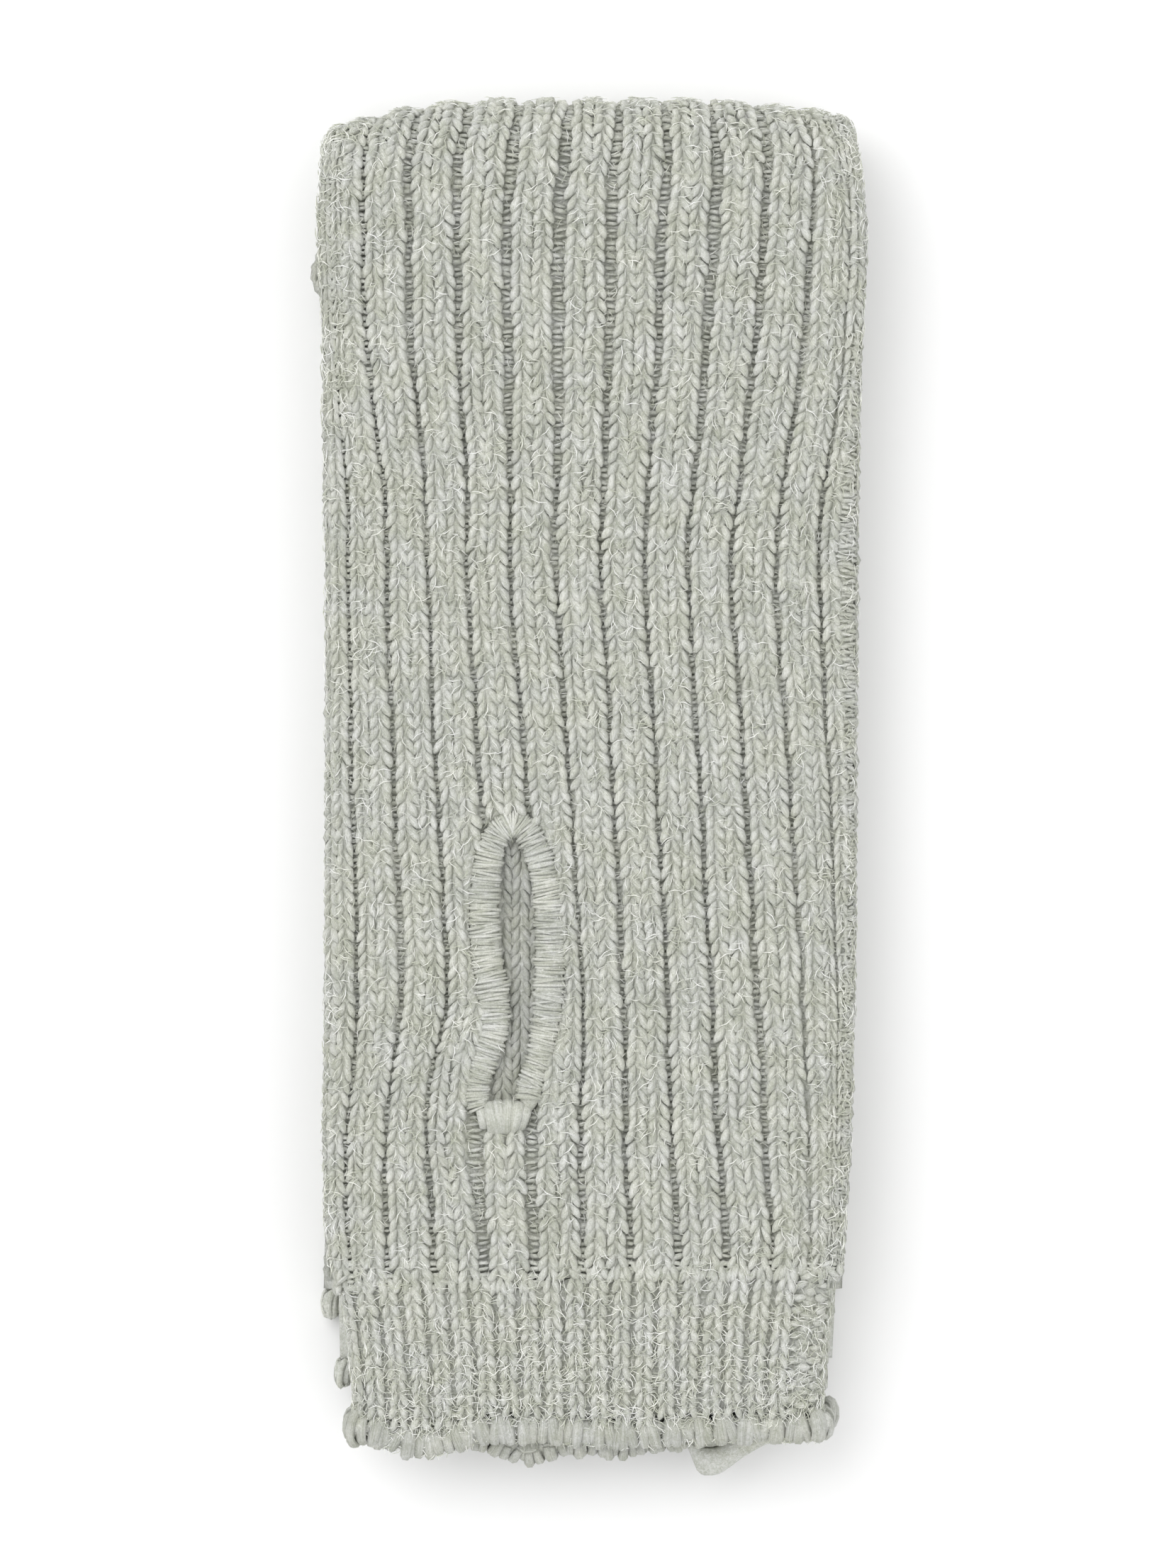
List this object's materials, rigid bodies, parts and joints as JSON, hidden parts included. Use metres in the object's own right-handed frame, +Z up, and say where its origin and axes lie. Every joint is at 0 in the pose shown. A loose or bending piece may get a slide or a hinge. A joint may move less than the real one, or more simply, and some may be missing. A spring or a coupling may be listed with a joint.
{
  "type": "pair of leg warmers",
  "caption": "Long rib-knitted wool leg warmers, laid one on the other and folded in half, with fine-ribbed cuffs, rolled bound edges and a heel opening.",
  "frame": {"origin": "middle of the folded pair's underside, on the surface that it lies on", "axes": "+Z up, +Y along the leg warmers towards the fold, -Y towards the cuffs, +X to the right of someone who reads the pair with the fold away from them"},
  "size_m": [0.1312, 0.33, 0.032],
  "materials": {
    "broad_rib": "2x2 rib knit in heathered pale grey wool with a sage tint, hairy and matt",
    "fine_rib": "1x1 rib knit in the same wool",
    "bound_edge": "rolled bound-off edge, wrapped in yarn",
    "edging": "closely whipped buttonhole edging in the same wool",
    "hidden_rib": "the same rib knit, seen at the stack's sides and in the heel opening"
  },
  "bodies": {
    "root": {"outer_leg": "broad_rib", "heel_edging": "edging", "outer_foot_cuff": "fine_rib", "outer_foot_edge": "bound_edge", "inner_foot_cuff": "fine_rib", "inner_foot_edge": "bound_edge", "outer_knee_edge": "bound_edge", "inner_knee_edge": "bound_edge", "hidden_layers": "hidden_rib"}
  },
  "joints": []
}
